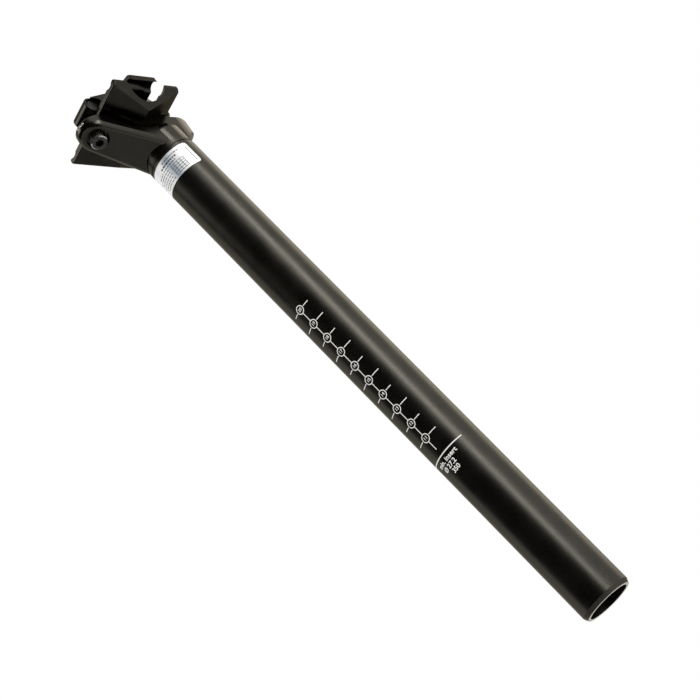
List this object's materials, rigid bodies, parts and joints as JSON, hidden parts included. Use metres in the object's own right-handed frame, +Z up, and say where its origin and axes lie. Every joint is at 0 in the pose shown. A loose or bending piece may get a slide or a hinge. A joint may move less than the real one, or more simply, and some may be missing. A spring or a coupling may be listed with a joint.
{
  "type": "bicycle seatpost",
  "caption": "Black alloy bicycle seatpost: a straight round tube with a set-back head and a bolted rail clamp that tips to set the saddle's angle.",
  "frame": {"origin": "centre of the tube's open bottom end", "axes": "+Z up the tube towards the clamp, +X forward on the bicycle, +Y to its left"},
  "size_m": [0.0665, 0.0528, 0.3583],
  "materials": {
    "post": "fine blasted, satin black anodised",
    "clamp": "fine blasted, satin black anodised",
    "bolts": "black oxide",
    "fittings": "black oxide"
  },
  "bodies": {
    "post": {"post": "post", "rear_washer": "fittings"},
    "clamp": {"lower_cradle": "clamp", "top_clamp": "clamp"},
    "rear_nut": {"rear_barrel_nut": "fittings"},
    "rear_bolt": {"rear_bolt": "bolts"},
    "front_barrel": {"front_barrel_washer": "fittings"},
    "front_bolt": {"front_bolt": "bolts"}
  },
  "joints": [
    {"name": "saddle_tilt", "type": "hinge", "parent": "post", "child": "clamp", "pos_m": [-0.00841, 0, 0.34837], "axis": [0, 1, 0], "range_deg": [-8, 8]},
    {"name": "rear_nut_turn", "type": "hinge", "parent": "clamp", "child": "rear_nut", "pos_m": [-0.02733, 0, 0.35308], "axis": [0, 1, 0], "range_deg": [-10.5, 10.5]},
    {"name": "rear_bolt_travel", "type": "slide", "parent": "rear_nut", "child": "rear_bolt", "axis": [0.4384, 0, 0.8988], "range_m": [-0.0028, 0.0028]},
    {"name": "front_barrel_turn", "type": "hinge", "parent": "clamp", "child": "front_barrel", "pos_m": [0.01391, 0, 0.3428], "axis": [0, 1, 0], "range_deg": [-8.5, 8.5]},
    {"name": "front_bolt_travel", "type": "slide", "parent": "post", "child": "front_bolt", "axis": [0.2419, 0, 0.9703], "range_m": [-0.0033, 0.0033]}
  ],
  "couplings": [
    {"joint": "rear_nut_turn", "follows": "saddle_tilt", "ratio": -1.2319},
    {"joint": "rear_bolt_travel", "follows": "saddle_tilt", "m_per_rad": -0.018954},
    {"joint": "front_barrel_turn", "follows": "saddle_tilt", "ratio": -1},
    {"joint": "front_bolt_travel", "follows": "saddle_tilt", "m_per_rad": -0.023}
  ]
}
